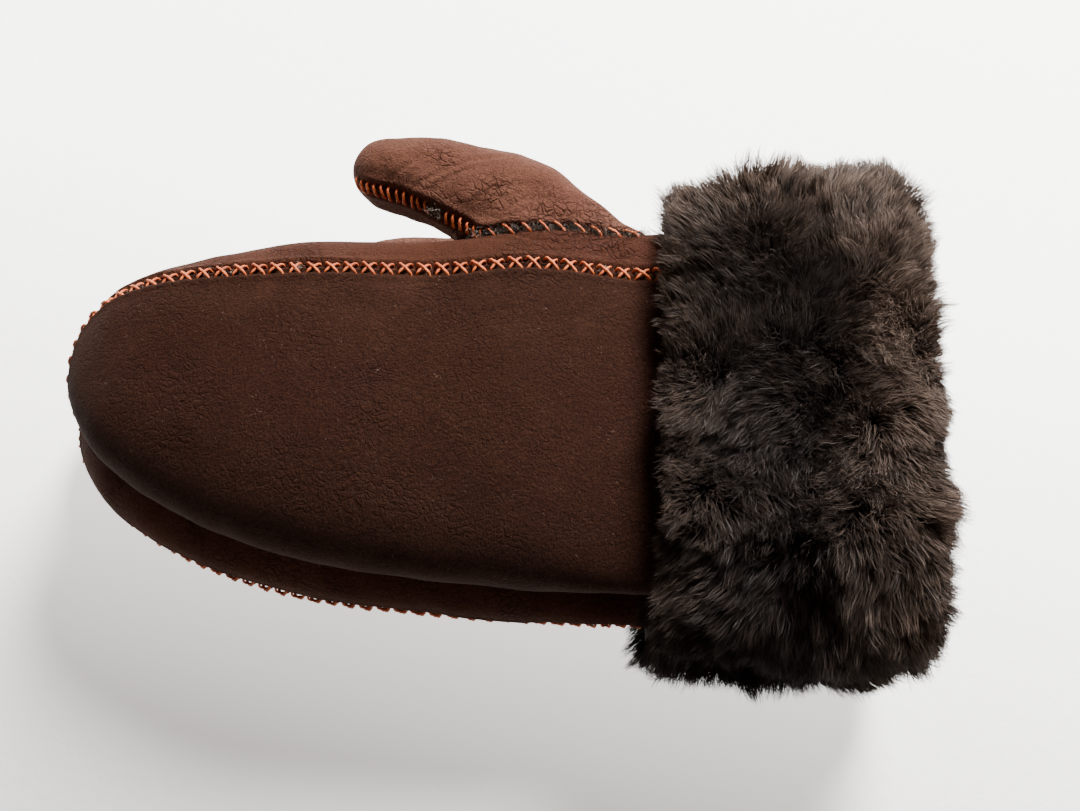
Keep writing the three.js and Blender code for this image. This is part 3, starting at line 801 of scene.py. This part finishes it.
lining_bed = fleece_bed("lining_fleece", (0.030, 0.024, 0.020), (0.075, 0.060, 0.050))
cuff_bed = fleece_bed("cuff_fleece", (0.006, 0.0045, 0.004), (0.015, 0.011, 0.009))
cuff_wool = wool_finish("cuff_wool", (0.0020, 0.0013, 0.0010), (0.0080, 0.0052, 0.0043),
                        (0.190, 0.130, 0.100))
lining_wool = wool_finish("lining_wool", (0.010, 0.008, 0.007), (0.045, 0.036, 0.030),
                          (0.12, 0.10, 0.085))
wisp_wool = wool_finish("wisp_wool", (0.10, 0.08, 0.07), (0.22, 0.18, 0.155), (0.5, 0.44, 0.38))


def panel_span(side, part, x):
    index, little = seam_angles(side, x)
    return (index, little) if part == "back" else (little, index + 2 * math.pi)


def lining_sheet(side, part):
    x = np.concatenate([TIP_X + HIDE + 1.6 + (1 - np.cos(np.linspace(0, math.pi / 2, 40))) * 100,
                        np.arange(-52.0, FOLD[side] - 4, 2.2)])
    low, high = panel_span(side, part, x)
    angles = low[:, None] + (high - low)[:, None] * np.linspace(0.004, 0.996, 60)
    wool = LINING_WOOL + (LINING_WOOL_AT_WRIST - LINING_WOOL) * smooth_step(-15, NARROW_X, x)
    inner_x = np.maximum(x, TIP_X + HIDE + wool + 1.6)[:, None]
    outside = hand_point(side, x[:, None], angles, HIDE + 1.3)
    inside = hand_point(side, inner_x, angles, (HIDE + wool)[:, None])
    inside = inside + grid_normals(outside) * lumps(inside, 7.0, 1.4, 2.2)[..., None]
    return outside, inside, x


for side in FLIP:
    for part in ("back", "palm"):
        rng = np.random.default_rng(31)
        outside, inside, x = lining_sheet(side, part)
        points, faces = shell(outside, inside)
        if part == "palm":
            faces = faces[~inside_thumb(side, points[faces].mean(1), 5.0)]
        bed = piece(f"{side}_{part}_lining", side, points, faces, lining_bed)
        near_mouth = x > FOLD[side] - 60
        pick = scatter(inside[near_mouth], 12000, rng)
        roots = pick(inside[near_mouth])
        inward = unit(pick(-grid_normals(inside)[near_mouth]))
        outward_x = unit(rng.normal(0, 0.35, roots.shape) + [0.9, 0.0, 0.0])
        paths, tufts = wool_paths(roots, inward, outward_x, np.full(len(roots), 4.5), rng, 14, 0.6, 0.35)
        pile = wool_mesh(f"{side}_{part}_lining_wool_pile", side, paths, np.full(len(roots), 0.3),
                         0.35 + 0.2 * rng.normal(0, 1, len(roots))[tufts], lining_wool, rng)
        for obj in (bed, pile):
            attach(obj, f"{side}_mitten")
        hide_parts(f"{side}_{part}_lining_wool")
    angles = np.linspace(0, 2 * math.pi, 40)
    start = thumb_base(side, angles, 2.0)
    t = start + (0.985 - start) * np.sin(np.linspace(0, math.pi / 2, 40))[:, None]
    outside = thumb_point(side, t, angles, HIDE + 1.2)
    inside = thumb_point(side, np.minimum(t, 0.94), angles, HIDE + THUMB_WOOL)
    inside = inside + grid_normals(outside) * lumps(inside, 5.0, 0.8, 4.4)[..., None]
    thumb_lining = piece(f"{side}_thumb_lining", side, *shell(outside, inside), lining_bed)
    bend_at_thumb(thumb_lining)
    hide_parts(f"{side}_thumb_lining_wool")

# ------------------------------------------------------------------ cuffs
# The folded-back end of both skins shows its long unclipped wool. The pile is thickest in the
# middle, thins to the cut edge over the wrist and rolls round the fold into the mouth.
CUFF_WOOL = 13.0
BED_SHARE = 0.5
PALMS_MEET, LIES_AT = 20.3, 19.5


def cuff_depth(side, x):
    start, end = CUT_EDGE[side] - 4, FOLD[side] + 8
    return CUFF_WOOL * round_end((x - start + 4) / 24, 2) * round_end((end + 1 - x) / 18, 2)


def cuff_bed_grid(side, part, columns=90):
    """The foot of the pile, from the cut edge along the cuff, round the fold and into the mouth."""
    outer = np.linspace(CUT_EDGE[side] - 0.5, FOLD[side] - FOLD_RADIUS, 42)
    bend = np.linspace(0, math.pi, 14)[1:-1]
    inner = np.linspace(FOLD[side] - FOLD_RADIUS, FOLD[side] - 12, 7)
    last = outer[-1]
    x = np.concatenate([outer, last + FOLD_RADIUS * np.sin(bend), inner])
    inset = -BAND_GAP / 2 - FOLD_RADIUS * np.concatenate([np.ones(42), np.cos(bend), -np.ones(7)])
    out_x = np.concatenate([np.zeros(42), np.sin(bend), np.zeros(7)])
    out_in = -np.concatenate([np.ones(42), np.cos(bend), -np.ones(7)])
    turn = np.concatenate([np.zeros(42), bend / math.pi, np.ones(7)])
    depth = BED_SHARE * cuff_depth(side, x) * (1 - turn) + 3.0 * turn
    low, high = panel_span(side, part, np.minimum(x, FOLD[side]))
    angles = low[:, None] + (high - low)[:, None] * np.linspace(0, 1, columns)
    def at(level):
        return hand_point(side, (x + out_x * level)[:, None], angles, (inset + out_in * level)[:, None])
    bed = at(depth)
    return at(0.15), bed, unit(at(depth + 1.0) - bed), x[:, None] + 0 * angles, turn[:, None] + 0 * angles


def keep_off(side, rng):
    """Wool is pressed, fibre over fibre, where the palms meet and where the mitten lies."""
    def limit(paths):
        slack = 3.5 * rng.random((len(paths), 1))
        z = paths[..., 2]
        palm, back = slack - PALMS_MEET, 27.0
        give = 0.5
        if side == "right":
            back, give = LIES_AT - slack, 0.08
        z = np.where(z < palm, palm + 0.08 * (z - palm), z)
        z = np.where(z > back, back + give * (z - back), z)
        return np.concatenate([paths[..., :2], z[..., None]], -1)
    return limit


def sway(places, scale, offset):
    """A slow random direction over the cuff, as wool is stroked and parted by handling."""
    flat = places / scale + offset
    return np.array([[noise.noise(Vector(p + shift)) for shift in (0.0, 17.3, 41.9)] for p in flat])


def painted_rim_light(side, places):
    """Painted light on the tips: lightest round the rims and towards the far side, darkest in the deep
    middle of the pile and towards the near side.
    """
    along = (places[:, 0] - CUT_EDGE[side]) / (FOLD[side] - CUT_EDGE[side])
    up = places[:, 1] / 80
    rim = np.maximum(smooth_step(0.55, 1.0, along), 0.95 * smooth_step(0.25, 0.85, up))
    rim = np.maximum(rim, 0.45 * smooth_step(0.35, 0.0, along))
    return 0.95 * rim * (0.55 + 0.45 * smooth_step(-1.0, 0.5, up))


LAYERS = {("left", "back"): 7, ("left", "palm"): 3, ("right", "back"): 3, ("right", "palm"): 3}
FIBRES_IN_A_LAYER = 28000
for (side, part), layers in LAYERS.items():
    foot, bed, ups, grid_x, grid_turn = cuff_bed_grid(side, part)
    bed = bed + ups * lumps(bed, 6.0, 1.6, 7.1)[..., None]
    fleece = piece(f"{side}_{part}_cuff_fleece", side, *shell(bed, foot), cuff_bed)
    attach(fleece, f"{side}_mitten")
    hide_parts(f"{side}_cuff_{part}_wool")
    middle = np.array([CUT_EDGE[side] + 0.62 * (FOLD[side] - CUT_EDGE[side]), -6.0, 0.0])
    for layer in range(layers):
        rng = np.random.default_rng(100 + layer)
        pick = scatter(bed, FIBRES_IN_A_LAYER, rng)
        roots, up, turn, x = pick(bed), unit(pick(ups)), pick(grid_turn)[:, 0], pick(grid_x)[:, 0]
        roots = roots - up
        away = (roots - middle) / [38.0, 62.0, 1e9]
        away = away / np.maximum(1.0, np.linalg.norm(away, axis=1, keepdims=True))
        lean = 0.8 * away + 1.3 * sway(roots, 24.0, 3.3) + 0.6 * sway(roots, 9.0, 8.3)
        lean = lean + [-0.08, 0.12, -0.15]
        lean = lean + turn[:, None] * [0.5, 0.0, 0.0]
        lean = lean - up * (lean * up).sum(1, keepdims=True)
        reach = (1 - BED_SHARE) * cuff_depth(side, np.minimum(x, FOLD[side] - 3)) + 1.0
        swell = np.array([noise.noise(Vector(p)) for p in roots / 17.0 + 5.1])
        length = ((reach * 1.6 + 1.5) * (1 - turn) + 6.0 * turn) * (1 + 0.35 * swell)
        paths, tufts = wool_paths(roots, up, lean, length, rng, 26, 0.55, 0.45)
        # The tone is painted light: tips lighter round the rims and towards the far side, darker in the
        # pile's middle and towards the near side.
        tone = (painted_rim_light(side, roots) * (1 + 0.7 * swell) + 0.1 * rng.normal(0, 1, len(roots))[tufts]
                + 0.08 * rng.normal(0, 1, len(roots)))
        pile = wool_mesh(f"{side}_{part}_cuff_wool_{layer + 1}", side, paths,
                         rng.uniform(0.14, 0.3, len(roots)), tone, cuff_wool, rng, keep_off(side, rng))
        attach(pile, f"{side}_mitten")

# ------------------------------------------------------------------ stray wool
# Wisps of the lining's grey wool escape between the stitches, most of them at the thumb's crotch.


def wisps(name, side, places, ups, count_each, spread, length, width, rng, material):
    centres = np.repeat(places, count_each, axis=0)
    roots = centres + rng.normal(0, spread, centres.shape)
    up = unit(np.repeat(ups, count_each, axis=0) + rng.normal(0, 0.25, centres.shape))
    lean = rng.normal(0, 0.8, centres.shape)
    lengths = length * rng.uniform(0.5, 1.3, len(roots))
    paths, _ = wool_paths(roots - 0.6 * up, up, lean, lengths, rng, 6, 0.4, 0.3)
    return wool_mesh(name, side, paths, np.full(len(roots), width), rng.random(len(roots)), material, rng)


for side in FLIP:
    rng = np.random.default_rng(55)
    base_places, base_out, _ = even_steps(*base_seam(side), 2.1)
    edge_wool = wisps(f"{side}_thumb_base_edge_wool", side, base_places + 0.8 * base_out, base_out, 60, 1.0,
                      2.2, 0.16, rng, lining_wool)
    chosen = rng.random(len(base_places)) < 0.45
    base_wisps = wisps(f"{side}_thumb_base_wisps", side, base_places[chosen], base_out[chosen], 26, 0.8,
                       3.0, 0.13, rng, wisp_wool)
    crotch, crotch_out, _ = even_steps(*side_seam(side), 2.85)
    side_wisps = wisps(f"{side}_thumb_side_wisps", side, crotch[[0, 1, 6, 7]], crotch_out[[0, 1, 6, 7]], 70,
                       0.9, 2.8, 0.13, rng, wisp_wool)
    for obj in (edge_wool, base_wisps, side_wisps):
        bend_at_thumb(obj)
    seam_places, seam_out, _ = even_steps(*seams[side], 3.0)
    chosen = rng.random(len(seam_places)) < (0.2 if side == "left" else 0.06)
    seam_wisps = wisps(f"{side}_main_seam_wisps", side, seam_places[chosen], seam_out[chosen], 14, 0.9, 2.0,
                       0.12, rng, wisp_wool)
    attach(seam_wisps, f"{side}_mitten")

# ------------------------------------------------------------------ table, light and camera
# A plain pale table that glows with painted light, brightest on the far side and dim near the mittens,
# where it paints their shade; a large soft window light from behind on the right, and a weak fill.
bpy.ops.mesh.primitive_plane_add(size=6.0, location=(0.0, 0.0, 0.0))
table = bpy.context.object
table.name = "table_top"
table_paint = bpy.data.materials.new("table_paint")
table_paint.use_nodes = True
paint_tree = table_paint.node_tree
paint = paint_tree.nodes["Principled BSDF"]
on_table = add(paint_tree, "ShaderNodeTexCoord").outputs["Object"]
plaster = noise_of(paint_tree, on_table, 220.0, 5.0, 0.6)
paint_colour = ramp(paint_tree, plaster, [(0.3, (0.88, 0.87, 0.855)), (0.7, (0.92, 0.915, 0.905))])
paint_tree.links.new(paint_colour, paint.inputs["Base Color"])
paint.inputs["Roughness"].default_value = 0.85
# Painted light: the table glows, strongly on its far side and faintly near the mittens, so painted shade
# lies in front of them.
paint.inputs["Emission Color"].default_value = (1.0, 0.98, 0.95, 1.0)
spot = add(paint_tree, "ShaderNodeSeparateXYZ", {0: on_table})
far_side = sum_of(paint_tree, (spot.outputs[1], 1.0), (spot.outputs[0], 0.25))
painted_table_glow = between(paint_tree, far_side, -0.17, 0.1, 0.1, 3.4)
paint_tree.links.new(painted_table_glow, paint.inputs["Emission Strength"])
paint_bump = add(paint_tree, "ShaderNodeBump", {"Height": plaster, "Strength": 0.3, "Distance": 0.001})
paint_tree.links.new(paint_bump.outputs["Normal"], paint.inputs["Normal"])
table.data.materials.append(table_paint)


def soft_light(name, place, aim, size, power, colour):
    data = bpy.data.lights.new(name, "AREA")
    data.shape = "DISK"
    data.size, data.energy, data.color = size, power, colour
    lamp = bpy.data.objects.new(name, data)
    lamp.location = place
    lamp.rotation_euler = (Vector(aim) - Vector(place)).to_track_quat("-Z", "Y").to_euler()
    bpy.context.scene.collection.objects.link(lamp)


soft_light("window_light", (0.55, 1.1, 1.05), (0.0, 0.0, 0.04), 0.7, 120.0, (1.0, 0.985, 0.96))
soft_light("room_fill", (-0.9, -0.3, 1.3), (0.0, 0.0, 0.0), 1.4, 1.5, (1.0, 0.88, 0.76))
room = bpy.data.worlds.new("studio")
room.use_nodes = True
room.node_tree.nodes["Background"].inputs["Color"].default_value = (1.0, 0.76, 0.58, 1.0)
room.node_tree.nodes["Background"].inputs["Strength"].default_value = 0.13
bpy.context.scene.world = room

VIEW_DISTANCE, VIEW_HEIGHT, VIEW_WIDTH = 0.395, 68.0, 50.0
AIM_HEIGHT = 0.044
camera_data = bpy.data.cameras.new("camera")
camera_data.angle = math.radians(VIEW_WIDTH)
camera_data.clip_start = 0.01
camera = bpy.data.objects.new("camera", camera_data)
hand_origin = pivots["left_thumb_swing"] - Vector(HINGE_ON_HAND * MM)
aim = Vector((hand_origin.x, hand_origin.y, AIM_HEIGHT))
tilt = math.radians(VIEW_HEIGHT)
camera.location = aim + VIEW_DISTANCE * Vector((0.0, -math.cos(tilt), math.sin(tilt)))
camera.rotation_euler = (aim - camera.location).to_track_quat("-Z", "Y").to_euler()
bpy.context.scene.collection.objects.link(camera)
bpy.context.scene.camera = camera
